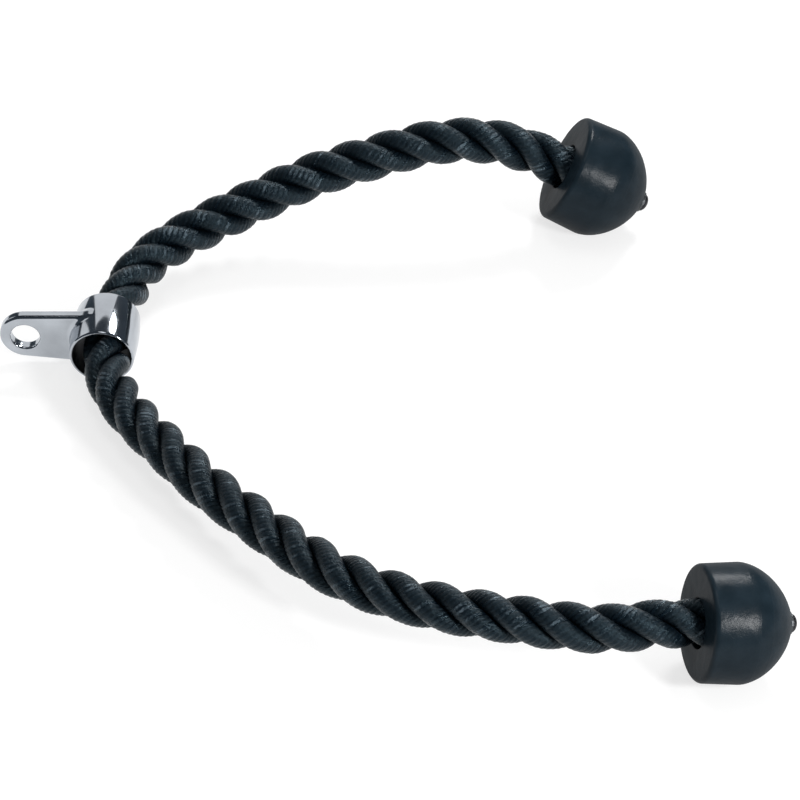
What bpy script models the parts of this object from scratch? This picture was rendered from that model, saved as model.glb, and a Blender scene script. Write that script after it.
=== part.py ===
"""Triceps rope attachment: a laid rope through a steel sleeve with an eye plate, a rubber cap on each end.

The attachment lies on a flat surface, +Z up. The eye plate points to -X, the rope's two legs reach to +X,
the front leg on the -Y side and the rear leg on the +Y side. All lengths are in metres.
"""

import math

import bmesh
import bpy
import numpy as np
from mathutils import Matrix, Vector

# Clearance between touching pieces, how far a cutter runs past what it cuts, and the merge distance
FIT_GAP = 0.0003
OVERRUN = 0.0020
MERGE = 0.00001

# Rope, and the distance between the points of its tubes
ROPE_RADIUS = 0.0140
ROUTE_STEP = 0.0560

# Sleeve that the rope runs through, a slightly barrelled tube
SLEEVE_LENGTH = 0.0380
SLEEVE_WALL = 0.0031
SLEEVE_BULGE = 0.0004
SLEEVE_RIM_ROUND = 0.0012
ROPE_PLAY = 0.0034
SLEEVE_BORE_RADIUS = ROPE_RADIUS + ROPE_PLAY
SLEEVE_RADIUS = SLEEVE_BORE_RADIUS + SLEEVE_WALL
SLEEVE_MOUTH_RADIUS = SLEEVE_RADIUS - SLEEVE_BULGE

# Eye plate welded to the sleeve, in line with the middle of its length
EYE_HOLE_RADIUS = 0.0088
EYE_RING_WIDTH = 0.0067
EYE_STAND_OFF = 0.0274
EYE_THICKNESS = 0.0070
EYE_EDGE_ROUND = 0.0012
EYE_TAPER_ANGLE = math.radians(3.4)
EYE_END_RADIUS = EYE_HOLE_RADIUS + EYE_RING_WIDTH
EYE_REACH = SLEEVE_RADIUS + EYE_STAND_OFF
WELD_RADIUS = 0.0024
WELD_RISE = 0.0008
WELD_SINK = 0.0004
WELD_HALF_ANGLE = math.radians(50)

# Rope inside the sleeve: how much of its play the bow takes up, and how far outside the mouths the legs swing
BOW_SHARE = 0.30
SWING_OUT = 0.0140
SWING_GAP = 0.0010
LEG_START_ANGLES = (75, 50, 25)

# Button-head screw and washer at each cap's tip
SCREW_RADIUS = 0.0030
SCREW_HEAD_FLANGE = 0.0025
SCREW_HEAD_HEIGHT = 0.0034
SCREW_TIP_CHAMFER = 0.0006
SCREW_CROWN_ANGLE = 80
HEX_RADIUS = 0.0023
HEX_DEPTH = 0.0018
WASHER_MARGIN = 0.0010
WASHER_THICKNESS = 0.0012
SCREW_HOLE_RADIUS = SCREW_RADIUS + FIT_GAP
SCREW_HEAD_RADIUS = SCREW_RADIUS + SCREW_HEAD_FLANGE
WASHER_RADIUS = SCREW_HEAD_RADIUS + WASHER_MARGIN

# Rubber end caps: a tapered side, a dome and a small flat seat at the tip. The dome's outline is a
# superellipse, and a power below 2 makes it more pointed than a round one.
CAP_STAND_OUT = 0.0205
CAP_TAPER = 0.0008
CAP_SIDE_LENGTH = 0.0237
CAP_DOME_LENGTH = 0.0312
CAP_DOME_POWER = 1.75
CAP_RIM_ROUND = 0.0030
CAP_SEAT_MARGIN = 0.0007
CAP_TIP_WALL = 0.0123
SOCKET_DEPTH = 0.0120
SOCKET_RADIUS = ROPE_RADIUS + FIT_GAP
CAP_RADIUS = ROPE_RADIUS + CAP_STAND_OUT
CAP_RIM_RADIUS = CAP_RADIUS - CAP_TAPER
CAP_SEAT_RADIUS = WASHER_RADIUS + CAP_SEAT_MARGIN

# Crimped steel cup on each rope end, inside the cap, and where its crimps lie along its wall
FERRULE_WALL = 0.0017
FERRULE_FLOOR = 0.0040
CRIMP_DEPTH = 0.0005
CRIMP_WIDTH = 0.0036
CRIMP_PLACE_SHARES = (0.72, 0.30)

# The legs' routes, from the floor under the sleeve's centre: points chosen by hand, swing centre to cap
FRONT_ROUTE = (
    (0.0175, -0.060, 0.020), (0.046, -0.098, 0.022), (0.077, -0.136, 0.025), (0.110, -0.169, 0.028),
    (0.143, -0.201, 0.032), (0.181, -0.228, 0.037), (0.224, -0.246, 0.042), (0.269, -0.256, 0.045),
    (0.316, -0.257, 0.044),
)
REAR_ROUTE = (
    (0.014, 0.063, 0.022), (0.042, 0.094, 0.027), (0.078, 0.116, 0.035), (0.115, 0.132, 0.046),
    (0.153, 0.141, 0.056), (0.193, 0.150, 0.063), (0.232, 0.154, 0.060),
)
FRONT_CAP_PLACE = (0.361, -0.244)
REAR_CAP_PLACE = (0.2685, 0.155)
FRONT_CAP_HEADING = math.radians(15.5)
FRONT_CAP_DIP = math.radians(10.5)
REAR_CAP_HEADING = 0
REAR_CAP_DIP = math.radians(27.5)

# How finely round shapes are divided: steps in a full turn, and points along arcs and outlines
SLEEVE_STEPS = 44
CAP_STEPS = 36
FERRULE_STEPS = 28
SCREW_STEPS = 24
HOLLOW_STEPS = 24
HEX_SIDES = 6
RIM_POINTS = 4
BARREL_POINTS = 7
DOME_POINTS = 11
CROWN_POINTS = 7
EYE_END_POINTS = 19
EYE_HOLE_POINTS = 28
EYE_EDGE_SEGMENTS = 1
WELD_POINTS = 15
BOW_POINTS = 7
BOW_SAMPLES = 60
SPAN_SAMPLES = 40
ROPE_SEGMENTS = 4
WELD_SEGMENTS = 1

# The most of its wall or thickness that a rounding may take on each side
EDGE_WALL_SHARE = 0.45

# Finishes, as colour, roughness and metallic value
CHROME = ((0.72, 0.74, 0.76), 0.08, 1)
ROPE_FIBRE = ((0.016, 0.020, 0.023), 0.75, 0)
CAP_RUBBER = ((0.035, 0.040, 0.044), 0.50, 0)
PLAIN_STEEL = ((0.55, 0.56, 0.57), 0.35, 1)
SCREW_BLACK = ((0.030, 0.030, 0.032), 0.40, 1)

SLEEVE_CENTRE = Vector((0, 0, SLEEVE_RADIUS))
ON_EDGE = Matrix.Rotation(math.pi / 2, 3, "X").to_quaternion()


def clear_scene():
    """Empty the file of objects and collections, so that a second run starts clean."""
    for obj in list(bpy.data.objects):
        bpy.data.objects.remove(obj, do_unlink=True)
    for group in list(bpy.data.collections):
        bpy.data.collections.remove(group)


def new_collection(name):
    """A collection linked to the scene."""
    group = bpy.data.collections.new(name)
    bpy.context.scene.collection.children.link(group)
    return group


def finish_piece(obj, finish):
    """Give a piece its own material."""
    colour, roughness, metallic = finish
    mat = bpy.data.materials.new(obj.name)
    mat.use_nodes = True
    shader = mat.node_tree.nodes["Principled BSDF"]
    shader.inputs["Base Color"].default_value = (*colour, 1)
    shader.inputs["Roughness"].default_value = roughness
    shader.inputs["Metallic"].default_value = metallic
    obj.data.materials.clear()
    obj.data.materials.append(mat)


def link(obj, group, parent, place, turn=None):
    """Put an object in its collection, under its parent empty."""
    group.objects.link(obj)
    obj.parent = parent
    obj.matrix_local = Matrix.LocRotScale(place, turn, None)


def empty(name, group, parent, place, turn=None):
    """An empty that carries pieces; a moving one stands on its joint's axis."""
    obj = bpy.data.objects.new(name, None)
    link(obj, group, parent, place, turn)
    return obj


def as_cutter(obj):
    """Mark an object as a cutter, which isn't part of the model."""
    obj.hide_render = True
    obj.display_type = "WIRE"


def add_boolean(obj, tool, operation):
    """Join a tool to a piece, or cut the piece with it."""
    step = obj.modifiers.new(tool.name, "BOOLEAN")
    step.operation = operation
    step.solver = "EXACT"
    step.object = tool


def object_from(name, shape):
    """An object that holds a finished bmesh shape."""
    mesh = bpy.data.meshes.new(name)
    shape.to_mesh(mesh)
    shape.free()
    return bpy.data.objects.new(name, mesh)


def turned(name, profile, steps, closed):
    """A solid turned about its own Z axis. The profile gives radius and height, down the outer side first."""
    shape = bmesh.new()
    corners = [shape.verts.new((radius, 0, height)) for radius, height in profile]
    for here, there in zip(corners, corners[1:]):
        shape.edges.new((here, there))
    if closed:
        shape.edges.new((corners[-1], corners[0]))
    obj = object_from(name, shape)
    spin = obj.modifiers.new("Turn", "SCREW")
    spin.axis = "Z"
    spin.angle = math.tau
    spin.steps = steps
    spin.render_steps = steps
    spin.use_merge_vertices = True
    spin.merge_threshold = MERGE
    spin.use_smooth_shade = True
    return obj


def arc(centre, radius, start, end, count):
    """Points on an arc, both ends included."""
    angles = np.linspace(start, end, count)
    return [(centre[0] + radius * math.cos(a), centre[1] + radius * math.sin(a)) for a in angles]


def smooth_route(points, start_way, end_way, step):
    """Points at even steps along a cubic curve through the route's points, with both end directions given."""
    knots = np.array(points, float)
    spans = np.linalg.norm(np.diff(knots, axis=0), axis=1)
    last = len(knots) - 1
    system = np.eye(len(knots))
    wanted = np.zeros_like(knots)
    wanted[0] = start_way
    wanted[last] = end_way
    for i in range(1, last):
        before, after = spans[i - 1], spans[i]
        system[i, i - 1:i + 2] = (after, 2 * (before + after), before)
        rise = after / before * (knots[i] - knots[i - 1])
        fall = before / after * (knots[i + 1] - knots[i])
        wanted[i] = 3 * (rise + fall)
    ways = np.linalg.solve(system, wanted)

    fine = []
    for i, span in enumerate(spans):
        share = np.linspace(0, 1, SPAN_SAMPLES, endpoint=i == last - 1)[:, None]
        square, cube = share ** 2, share ** 3
        fine.append(
            (2 * cube - 3 * square + 1) * knots[i] + (cube - 2 * square + share) * span * ways[i]
            + (3 * square - 2 * cube) * knots[i + 1] + (cube - square) * span * ways[i + 1]
        )
    fine = np.vstack(fine)
    run = np.concatenate(([0], np.cumsum(np.linalg.norm(np.diff(fine, axis=0), axis=1))))
    even = np.linspace(0, run[-1], round(run[-1] / step) + 1)
    return [Vector([np.interp(s, run, fine[:, k]) for k in range(3)]) for s in even]


def rope_tube(name, points, radius_shares):
    """A tube of rope along points, as a curve with filled ends, with a share of its radius at each point."""
    curve = bpy.data.curves.new(name, "CURVE")
    curve.dimensions = "3D"
    curve.bevel_depth = ROPE_RADIUS
    curve.bevel_resolution = ROPE_SEGMENTS
    curve.use_fill_caps = True
    line = curve.splines.new("POLY")
    line.points.add(len(points) - 1)
    for knot, place, share in zip(line.points, points, radius_shares):
        knot.co = (*place, 1)
        knot.radius = share
    line.use_smooth = True
    return bpy.data.objects.new(name, curve)


def curve_to_mesh(obj):
    """The same object as a mesh with its end caps welded, so that it can be cut or joined."""
    bpy.context.view_layer.update()
    depsgraph = bpy.context.evaluated_depsgraph_get()
    mesh = bpy.data.meshes.new_from_object(obj.evaluated_get(depsgraph))
    shape = bmesh.new()
    shape.from_mesh(mesh)
    bmesh.ops.remove_doubles(shape, verts=shape.verts, dist=MERGE)
    shape.to_mesh(mesh)
    shape.free()
    name = obj.name
    groups = list(obj.users_collection)
    parent = obj.parent
    local = obj.matrix_local.copy()
    bpy.data.objects.remove(obj, do_unlink=True)
    solid = bpy.data.objects.new(name, mesh)
    for group in groups:
        group.objects.link(solid)
    solid.parent = parent
    solid.matrix_local = local
    return solid


def cap_way(heading, dip):
    """The direction from a cap's open face to its tip."""
    level = math.cos(dip)
    return Vector((level * math.cos(heading), level * math.sin(heading), -math.sin(dip)))


def cap_face_height(dip):
    """How high a cap's open face lies when the dome rests on the floor."""
    power = CAP_DOME_POWER / (CAP_DOME_POWER - 1)
    across, ahead = CAP_RADIUS * math.cos(dip), CAP_DOME_LENGTH * math.sin(dip)
    reach = (across ** power + ahead ** power) ** (1 / power)
    return reach + CAP_SIDE_LENGTH * math.sin(dip)


def rim_round():
    """The rounding of the sleeve's rims, limited by its wall."""
    return min(SLEEVE_RIM_ROUND, EDGE_WALL_SHARE * (SLEEVE_MOUTH_RADIUS - SLEEVE_BORE_RADIUS))


def bore_room(along):
    """How far the bore's flats lie from its axis, at a distance from the sleeve's middle; the rims open out."""
    rim = rim_round()
    past = max(0, along - (SLEEVE_LENGTH / 2 - rim))
    radius = SLEEVE_BORE_RADIUS + rim - math.sqrt(rim ** 2 - past ** 2)
    return radius * math.cos(math.pi / SLEEVE_STEPS)


def bow_radius():
    """The radius of the rope's bow in the sleeve, from how deep a bow its play in the bore allows."""
    contact = SLEEVE_LENGTH / 2 - rim_round()
    return contact ** 2 / (2 * BOW_SHARE * ROPE_PLAY)


def bow_shift():
    """Where the bow's middle lies, so that the rope's +X side comes within the fit's gap of the bore."""
    rooms = []
    for along in np.linspace(0, SLEEVE_LENGTH / 2 + SWING_OUT, BOW_SAMPLES):
        lean = math.atan(along / bow_radius())
        side_along = along - ROPE_RADIUS * math.sin(lean)
        if side_along <= SLEEVE_LENGTH / 2:
            side = along ** 2 / (2 * bow_radius()) + ROPE_RADIUS * math.cos(lean)
            rooms.append(bore_room(side_along) - side)
    return min(rooms) - FIT_GAP


def bow_place(along):
    """The rope's centre inside the sleeve, at a distance along the sleeve from its middle."""
    return SLEEVE_CENTRE + Vector((bow_shift() + along ** 2 / (2 * bow_radius()), along, 0))


def swing_centre(side):
    """Where a leg swings: just outside its mouth, on the rope's centre line."""
    return bow_place(side * (SLEEVE_LENGTH / 2 + SWING_OUT))


def swing_way(side):
    """The rope's direction where its leg begins."""
    along = SLEEVE_LENGTH / 2 + SWING_OUT
    return Vector((along / bow_radius(), side, 0)).normalized()


def make_sleeve(parts, bracket):
    """The sleeve: a barrelled tube with rounded rims, turned about its bore."""
    rim = rim_round()
    straight = SLEEVE_LENGTH / 2 - rim
    barrel = [
        (SLEEVE_RADIUS - SLEEVE_BULGE * share ** 2, straight * -share)
        for share in np.linspace(-1, 1, BARREL_POINTS)
    ]
    outer_top = arc((SLEEVE_MOUTH_RADIUS - rim, straight), rim, math.pi / 2, 0, RIM_POINTS)[:-1]
    outer_bottom = arc((SLEEVE_MOUTH_RADIUS - rim, -straight), rim, 0, -math.pi / 2, RIM_POINTS)[1:]
    inner_bottom = arc((SLEEVE_BORE_RADIUS + rim, -straight), rim, -math.pi / 2, -math.pi, RIM_POINTS)
    inner_top = arc((SLEEVE_BORE_RADIUS + rim, straight), rim, math.pi, math.pi / 2, RIM_POINTS)
    profile = outer_top + barrel + outer_bottom + inner_bottom + inner_top
    sleeve = turned("sleeve", profile, SLEEVE_STEPS, True)
    link(sleeve, parts, bracket, Vector(), ON_EDGE)
    finish_piece(sleeve, CHROME)


def eye_outline():
    """The eye plate's outline: a full round end and two edges that spread towards the sleeve."""
    lean = EYE_TAPER_ANGLE
    top, bottom = math.pi / 2 + lean, 3 * math.pi / 2 - lean
    end = arc((-EYE_REACH, 0), EYE_END_RADIUS, top, bottom, EYE_END_POINTS)
    root = EYE_END_RADIUS / math.cos(lean) + EYE_REACH * math.tan(lean)
    return end + [(0, -root), (0, root)]


def make_plate_blank(parts, bracket):
    """The eye plate before welding: its outline with the eye's hole, as thick as the plate, edges rounded."""
    edge_round = min(EYE_EDGE_ROUND, EDGE_WALL_SHARE * EYE_THICKNESS)
    flat = bpy.data.curves.new("eye_plate", "CURVE")
    flat.dimensions = "2D"
    flat.fill_mode = "BOTH"
    flat.extrude = EYE_THICKNESS / 2 - edge_round
    flat.bevel_depth = edge_round
    flat.bevel_resolution = EYE_EDGE_SEGMENTS
    flat.offset = -edge_round
    hole = arc((-EYE_REACH, 0), EYE_HOLE_RADIUS, 0, math.tau, EYE_HOLE_POINTS + 1)[:-1]
    for outline in (eye_outline(), hole):
        line = flat.splines.new("POLY")
        line.points.add(len(outline) - 1)
        for knot, place in zip(line.points, outline):
            knot.co = (*place, 0, 1)
        line.use_cyclic_u = True
    plate = bpy.data.objects.new("eye_plate", flat)
    link(plate, parts, bracket, Vector(), ON_EDGE)
    return curve_to_mesh(plate)


def make_weld_bead(cutters, bracket, side):
    """The weld bead down one face of the plate, along the sleeve, its centre just under the face."""
    seam_ends = (math.pi - WELD_HALF_ANGLE, math.pi + WELD_HALF_ANGLE)
    seam = arc((0, 0), SLEEVE_RADIUS + WELD_RISE, *seam_ends, WELD_POINTS)
    depth = side * (EYE_THICKNESS / 2 - WELD_SINK)
    points = [Vector((x, y, depth)) for x, y in seam]
    bead = rope_tube("weld_front" if side > 0 else "weld_rear", points, [1] * WELD_POINTS)
    bead.data.bevel_depth = WELD_RADIUS
    bead.data.bevel_resolution = WELD_SEGMENTS
    link(bead, cutters, bracket, Vector(), ON_EDGE)
    bead = curve_to_mesh(bead)
    as_cutter(bead)
    return bead


def make_eye_plate(parts, cutters, bracket):
    """The eye plate, held level by the weld, with its beads, and cut to seat on the sleeve."""
    plate = make_plate_blank(parts, bracket)
    for side in (-1, 1):
        add_boolean(plate, make_weld_bead(cutters, bracket, side), "UNION")

    reach = EYE_THICKNESS + WELD_RADIUS + OVERRUN
    seat_radius = SLEEVE_RADIUS + FIT_GAP
    seat_profile = [(0, reach), (seat_radius, reach), (seat_radius, -reach), (0, -reach)]
    seat = turned("sleeve_seat", seat_profile, 2 * SLEEVE_STEPS, False)
    link(seat, cutters, bracket, Vector(), ON_EDGE)
    as_cutter(seat)
    add_boolean(plate, seat, "DIFFERENCE")
    finish_piece(plate, CHROME)


def make_rope_in_sleeve(parts, cutters, swivel):
    """The stretch of rope in the sleeve, with a hollow at each end for the leg's round start to turn in."""
    end = SLEEVE_LENGTH / 2 + SWING_OUT
    points = [bow_place(along) - SLEEVE_CENTRE for along in np.linspace(-end, end, BOW_POINTS)]
    core = rope_tube("rope_in_sleeve", points, [1] * BOW_POINTS)
    link(core, parts, swivel, Vector())
    core = curve_to_mesh(core)
    core.data.shade_smooth()
    for side, name in ((-1, "front_hollow"), (1, "rear_hollow")):
        ball = bmesh.new()
        bmesh.ops.create_uvsphere(
            ball, u_segments=HOLLOW_STEPS, v_segments=HOLLOW_STEPS // 2, radius=ROPE_RADIUS + SWING_GAP
        )
        hollow = object_from(name, ball)
        link(hollow, cutters, swivel, swing_centre(side) - SLEEVE_CENTRE)
        as_cutter(hollow)
        add_boolean(core, hollow, "DIFFERENCE")
    finish_piece(core, ROPE_FIBRE)


def make_leg(parts, swing, label, side, middle, face, way):
    """A free leg of rope, from a round start at its swing centre to the cap's face."""
    start = swing_centre(side)
    out = swing_way(side)
    end = face - way * FIT_GAP
    straight = end - way * ROPE_RADIUS
    route = smooth_route([start, *map(Vector, middle), straight], out, way, ROUTE_STEP)
    points = []
    radius_shares = []
    for turn in np.radians(LEG_START_ANGLES):
        points.append(start - out * ROPE_RADIUS * math.sin(turn))
        radius_shares.append(math.cos(turn))
    points += [*route, end]
    radius_shares += [1] * (len(route) + 1)
    leg = rope_tube("rope_leg_" + label, [point - start for point in points], radius_shares)
    link(leg, parts, swing, Vector())
    finish_piece(leg, ROPE_FIBRE)


def dome_place(turn):
    """Radius and height of the dome's outline at a turn from its foot, from the cap's open face."""
    share = 2 / CAP_DOME_POWER
    return CAP_RADIUS * math.cos(turn) ** share, CAP_SIDE_LENGTH + CAP_DOME_LENGTH * math.sin(turn) ** share


def seat_turn():
    """Where along the dome's outline the flat seat at the tip begins."""
    return math.acos((CAP_SEAT_RADIUS / CAP_RADIUS) ** (CAP_DOME_POWER / 2))


def cap_seat_height():
    """How far the flat seat at a cap's tip lies from its open face."""
    return dome_place(seat_turn())[1]


def ferrule_span():
    """Where a ferrule begins and ends, from the cap's open face."""
    return SOCKET_DEPTH + FIT_GAP, cap_seat_height() - CAP_TIP_WALL - FIT_GAP


def cap_profile():
    """A cap's section: dome, tapered side, rounded rim, face, rope socket, ferrule chamber, screw hole."""
    chamber_radius = SOCKET_RADIUS + FERRULE_WALL + FIT_GAP
    chamber_top = cap_seat_height() - CAP_TIP_WALL
    dome = [dome_place(turn) for turn in np.linspace(seat_turn(), 0, DOME_POINTS)]
    rim = arc((CAP_RIM_RADIUS - CAP_RIM_ROUND, CAP_RIM_ROUND), CAP_RIM_ROUND, 0, -math.pi / 2, RIM_POINTS)
    return [
        (SCREW_HOLE_RADIUS, cap_seat_height()), *dome, *rim,
        (SOCKET_RADIUS, 0), (SOCKET_RADIUS, SOCKET_DEPTH), (chamber_radius, SOCKET_DEPTH),
        (chamber_radius, chamber_top), (SCREW_HOLE_RADIUS, chamber_top),
    ]


def ferrule_profile():
    """The crimped cup's section: two crimp grooves round its wall, and a floor with the screw's hole."""
    base, top = ferrule_span()
    outer = SOCKET_RADIUS + FERRULE_WALL
    floor = top - FERRULE_FLOOR
    profile = [(SCREW_HOLE_RADIUS, top), (outer, top)]
    for share in CRIMP_PLACE_SHARES:
        middle = base + (floor - base) * share
        profile += [
            (outer, middle + CRIMP_WIDTH / 2), (outer - CRIMP_DEPTH, middle + CRIMP_WIDTH / 4),
            (outer - CRIMP_DEPTH, middle - CRIMP_WIDTH / 4), (outer, middle - CRIMP_WIDTH / 2),
        ]
    profile += [(outer, base), (SOCKET_RADIUS, base), (SOCKET_RADIUS, floor), (SCREW_HOLE_RADIUS, floor)]
    return profile


def make_washer(parts, seat, label, low):
    """The washer on the cap's flat seat."""
    high = low + WASHER_THICKNESS
    hole = SCREW_HOLE_RADIUS
    profile = [(hole, high), (WASHER_RADIUS, high), (WASHER_RADIUS, low), (hole, low)]
    washer = turned("washer_" + label, profile, FERRULE_STEPS, True)
    link(washer, parts, seat, Vector())
    finish_piece(washer, PLAIN_STEEL)


def make_screw(parts, cutters, seat, label, under, tip):
    """The button-head screw, its head's underside and its tip at the given heights, with a hex socket."""
    crown = [
        (SCREW_HEAD_RADIUS * math.sin(turn), under + SCREW_HEAD_HEIGHT * math.cos(turn))
        for turn in np.linspace(0, math.radians(SCREW_CROWN_ANGLE), CROWN_POINTS)
    ]
    profile = [
        *crown, (SCREW_HEAD_RADIUS, under), (SCREW_RADIUS, under),
        (SCREW_RADIUS, tip + SCREW_TIP_CHAMFER), (SCREW_RADIUS - SCREW_TIP_CHAMFER, tip), (0, tip),
    ]
    screw = turned("cap_screw_" + label, profile, SCREW_STEPS, False)
    link(screw, parts, seat, Vector())
    prism = bmesh.new()
    bmesh.ops.create_cone(
        prism, cap_ends=True, segments=HEX_SIDES, radius1=HEX_RADIUS, radius2=HEX_RADIUS, depth=2 * HEX_DEPTH
    )
    socket = object_from("hex_socket_" + label, prism)
    link(socket, cutters, seat, Vector((0, 0, under + SCREW_HEAD_HEIGHT)))
    as_cutter(socket)
    add_boolean(screw, socket, "DIFFERENCE")
    finish_piece(screw, SCREW_BLACK)


def make_end(parts, cutters, swing, label, side, face, way):
    """A rope end: the rubber cap, the rope's tail, its crimped cup, and the washer and screw at the tip."""
    turn = Vector((0, 0, 1)).rotation_difference(way)
    seat = empty("cap_seat_" + label, parts, swing, face - swing_centre(side), turn)
    cap = turned("end_cap_" + label, cap_profile(), CAP_STEPS, True)
    link(cap, parts, seat, Vector())
    finish_piece(cap, CAP_RUBBER)

    ferrule = turned("ferrule_" + label, ferrule_profile(), FERRULE_STEPS, True)
    link(ferrule, parts, seat, Vector())
    finish_piece(ferrule, PLAIN_STEEL)

    floor = ferrule_span()[1] - FERRULE_FLOOR
    tail = rope_tube("rope_tail_" + label, [Vector(), Vector((0, 0, floor - FIT_GAP))], [1, 1])
    link(tail, parts, seat, Vector())
    finish_piece(tail, ROPE_FIBRE)

    washer_low = cap_seat_height() + FIT_GAP
    make_washer(parts, seat, label, washer_low)
    make_screw(parts, cutters, seat, label, washer_low + WASHER_THICKNESS + FIT_GAP, floor)


def stand_on_origin(root, parts):
    """Move the whole model so that the origin is under the middle of its box, the free rope legs left out."""
    bpy.context.view_layer.update()
    depsgraph = bpy.context.evaluated_depsgraph_get()
    corners = []
    for obj in parts.objects:
        if obj.type == "EMPTY" or obj.name.startswith("rope_leg"):
            continue
        solid = obj.evaluated_get(depsgraph)
        mesh = solid.to_mesh()
        places = np.empty(3 * len(mesh.vertices))
        mesh.vertices.foreach_get("co", places)
        world = np.array(solid.matrix_world)
        corners.append(places.reshape(-1, 3) @ world[:3, :3].T + world[:3, 3])
        solid.to_mesh_clear()
    places = np.vstack(corners)
    low, high = places.min(axis=0), places.max(axis=0)
    root.location = (-(low[0] + high[0]) / 2, -(low[1] + high[1]) / 2, -low[2])
    bpy.context.view_layer.update()
    print("box without the rope's legs, m:", np.round(high - low, 5))


def main():
    """Build the attachment."""
    clear_scene()
    parts = new_collection("triceps_rope_attachment")
    cutters = new_collection("cutters")
    root = empty("rope_attachment", parts, None, Vector())
    bracket = empty("eye_bracket", parts, root, SLEEVE_CENTRE)
    swivel = empty("rope_swivel", parts, root, SLEEVE_CENTRE)
    make_sleeve(parts, bracket)
    make_eye_plate(parts, cutters, bracket)
    make_rope_in_sleeve(parts, cutters, swivel)
    ends = (
        ("front", -1, FRONT_ROUTE, FRONT_CAP_PLACE, FRONT_CAP_HEADING, FRONT_CAP_DIP),
        ("rear", 1, REAR_ROUTE, REAR_CAP_PLACE, REAR_CAP_HEADING, REAR_CAP_DIP),
    )
    for label, side, middle, place, heading, dip in ends:
        swing = empty(label + "_swing", parts, swivel, swing_centre(side) - SLEEVE_CENTRE)
        face = Vector((*place, cap_face_height(dip)))
        way = cap_way(heading, dip)
        make_leg(parts, swing, label, side, middle, face, way)
        make_end(parts, cutters, swing, label, side, face, way)
    stand_on_origin(root, parts)
    for obj in parts.objects:
        if obj.type == "EMPTY":
            print(obj.name, "m:", [round(value, 6) for value in obj.matrix_world.translation])


main()
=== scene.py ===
"""Looks for the triceps rope attachment: laid rope, chromed eye bracket, rubber end caps and a plain studio.

The attachment lies on the floor, +Z up. The eye plate points to -X and the rope's legs reach to +X.
All lengths are in metres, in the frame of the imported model.
"""

import math
from collections import namedtuple

import bpy
import numpy as np
from bpy.props import FloatProperty, FloatVectorProperty, IntProperty, PointerProperty
from bpy.types import Operator, Panel, PropertyGroup
from mathutils import Matrix, Vector


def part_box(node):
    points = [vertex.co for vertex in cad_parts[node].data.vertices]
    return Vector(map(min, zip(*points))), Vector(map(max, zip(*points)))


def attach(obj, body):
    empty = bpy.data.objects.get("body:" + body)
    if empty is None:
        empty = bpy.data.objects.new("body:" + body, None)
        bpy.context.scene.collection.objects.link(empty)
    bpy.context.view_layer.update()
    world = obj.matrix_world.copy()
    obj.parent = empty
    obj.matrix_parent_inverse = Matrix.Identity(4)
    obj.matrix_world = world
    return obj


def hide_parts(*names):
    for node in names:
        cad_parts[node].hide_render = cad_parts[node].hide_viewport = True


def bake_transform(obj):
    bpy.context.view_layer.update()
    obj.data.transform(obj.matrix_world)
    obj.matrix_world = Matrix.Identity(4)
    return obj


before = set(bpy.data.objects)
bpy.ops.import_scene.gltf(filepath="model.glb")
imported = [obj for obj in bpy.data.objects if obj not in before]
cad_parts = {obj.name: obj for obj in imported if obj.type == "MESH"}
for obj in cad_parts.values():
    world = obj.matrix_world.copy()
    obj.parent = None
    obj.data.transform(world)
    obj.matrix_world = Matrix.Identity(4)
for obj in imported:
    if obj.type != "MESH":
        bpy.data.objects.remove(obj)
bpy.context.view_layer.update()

bl_info = {
    "name": "Triceps Rope Attachment",
    "version": (1, 0, 0),
    "blender": (4, 5, 0),
    "location": "View3D > Sidebar > Rope Attachment",
    "description": "Makes a rope attachment's laid rope, eye bracket, rubber caps and studio",
    "category": "Object",
}

# The bracket's sleeve, as in the part's source, but with a fuller barrel shape
SLEEVE_CENTRE = (Vector(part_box("sleeve")[0]) + Vector(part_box("sleeve")[1])) / 2
SLEEVE_FOOT = Vector((SLEEVE_CENTRE.x, SLEEVE_CENTRE.y, 0))
SLEEVE_LENGTH = 0.0380
SLEEVE_RADIUS = 0.0205
SLEEVE_BORE_RADIUS = 0.0174
SLEEVE_BULGE = 0.0012
SLEEVE_RIM_ROUND = 0.0012

# The eye plate, as in the part's source
EYE_HOLE_RADIUS = 0.0088
EYE_END_RADIUS = 0.0155
EYE_REACH = 0.0479
EYE_THICKNESS = 0.0070
EYE_TAPER_ANGLE = math.radians(3.4)
EYE_ROOT_RADIUS = EYE_END_RADIUS + EYE_REACH * math.sin(EYE_TAPER_ANGLE)

# The rope's bow in the sleeve, as in the part's source: its radius, how far its middle lies off the bore's
# axis, and how far from the sleeve's middle the legs begin and swing
BOW_RADIUS = 0.15531
BOW_SHIFT = 0.00193
SEAM_ALONG = 0.0080
SWING_ALONG = 0.0330

# The rope at each cap: its straight stretch before the open face, and its tail behind it
STRAIGHT_LENGTH = 0.0143
TAIL_LENGTH = 0.0364

# The legs' routes and the caps' open faces, from the floor under the sleeve's centre, as in the part's source
FRONT_ROUTE = (
    (0.0175, -0.060, 0.020), (0.046, -0.098, 0.022), (0.077, -0.136, 0.025), (0.110, -0.169, 0.028),
    (0.143, -0.201, 0.032), (0.181, -0.228, 0.037), (0.224, -0.246, 0.042), (0.269, -0.256, 0.045),
    (0.316, -0.257, 0.044),
)
REAR_ROUTE = (
    (0.014, 0.063, 0.022), (0.042, 0.094, 0.027), (0.078, 0.116, 0.035), (0.115, 0.132, 0.046),
    (0.153, 0.141, 0.056), (0.193, 0.150, 0.063), (0.232, 0.154, 0.060),
)
FRONT_CAP_FACE = (0.361, -0.244, 0.038465)
REAR_CAP_FACE = (0.2685, 0.155, 0.043704)

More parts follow.
